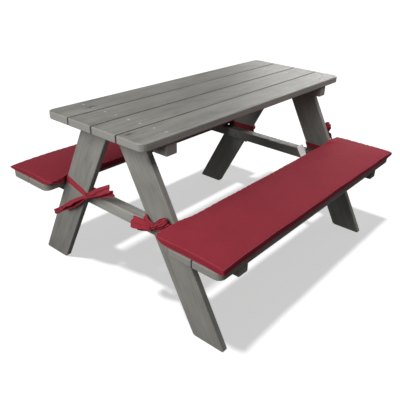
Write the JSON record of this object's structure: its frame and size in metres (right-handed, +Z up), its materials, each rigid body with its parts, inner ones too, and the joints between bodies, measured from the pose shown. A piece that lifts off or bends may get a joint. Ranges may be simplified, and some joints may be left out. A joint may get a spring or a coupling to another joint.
{
  "type": "kids picnic table",
  "caption": "Child-size A-frame picnic table with a slatted wooden top, two attached bench seats and thin tied-on seat cushions.",
  "frame": {"origin": "on the floor, under the middle of the table (bottom centre of the bounding box)", "axes": "+X along the table top and the benches, +Y from the front bench to the back bench, +Z up"},
  "size_m": [0.9034, 0.8092, 0.51],
  "materials": {
    "top_wood": "grey stain, matt, fine lengthwise grain",
    "seat_wood": "grey stain, matt",
    "frame_wood": "grey stain, matt",
    "cushion_fabric": "plain woven cover, dark red",
    "tie_ribbon": "folded and sewn strip, dark red",
    "screw_steel": "zinc plated"
  },
  "bodies": {
    "root": {"back_cushion": "cushion_fabric", "back_seat_board_inner": "seat_wood", "back_seat_board_outer": "seat_wood", "beam_screw_01": "screw_steel", "beam_screw_02": "screw_steel", "beam_screw_03": "screw_steel", "beam_screw_04": "screw_steel", "beam_screw_05": "screw_steel", "beam_screw_06": "screw_steel", "beam_screw_07": "screw_steel", "beam_screw_08": "screw_steel", "cleat_screw_01": "screw_steel", "cleat_screw_02": "screw_steel", "cleat_screw_03": "screw_steel", "cleat_screw_04": "screw_steel", "cleat_screw_05": "screw_steel", "cleat_screw_06": "screw_steel", "cleat_screw_07": "screw_steel", "cleat_screw_08": "screw_steel", "front_cushion": "cushion_fabric", "front_seat_board_inner": "seat_wood", "front_seat_board_outer": "seat_wood", "left_back_leg": "frame_wood", "left_back_tie": "tie_ribbon", "left_front_leg": "frame_wood", "left_front_tie": "tie_ribbon", "left_seat_beam": "frame_wood", "left_top_cleat": "frame_wood", "right_back_leg": "frame_wood", "right_back_tie": "tie_ribbon", "right_front_leg": "frame_wood", "right_front_tie": "tie_ribbon", "right_seat_beam": "frame_wood", "right_top_cleat": "frame_wood", "table_board_1": "top_wood", "table_board_2": "top_wood", "table_board_3": "top_wood", "table_board_4": "top_wood", "tabletop_screw_01": "screw_steel", "tabletop_screw_02": "screw_steel", "tabletop_screw_03": "screw_steel", "tabletop_screw_04": "screw_steel", "tabletop_screw_05": "screw_steel", "tabletop_screw_06": "screw_steel", "tabletop_screw_07": "screw_steel", "tabletop_screw_08": "screw_steel", "tabletop_screw_09": "screw_steel", "tabletop_screw_10": "screw_steel", "tabletop_screw_11": "screw_steel", "tabletop_screw_12": "screw_steel", "tabletop_screw_13": "screw_steel", "tabletop_screw_14": "screw_steel", "tabletop_screw_15": "screw_steel", "tabletop_screw_16": "screw_steel"}
  },
  "joints": []
}
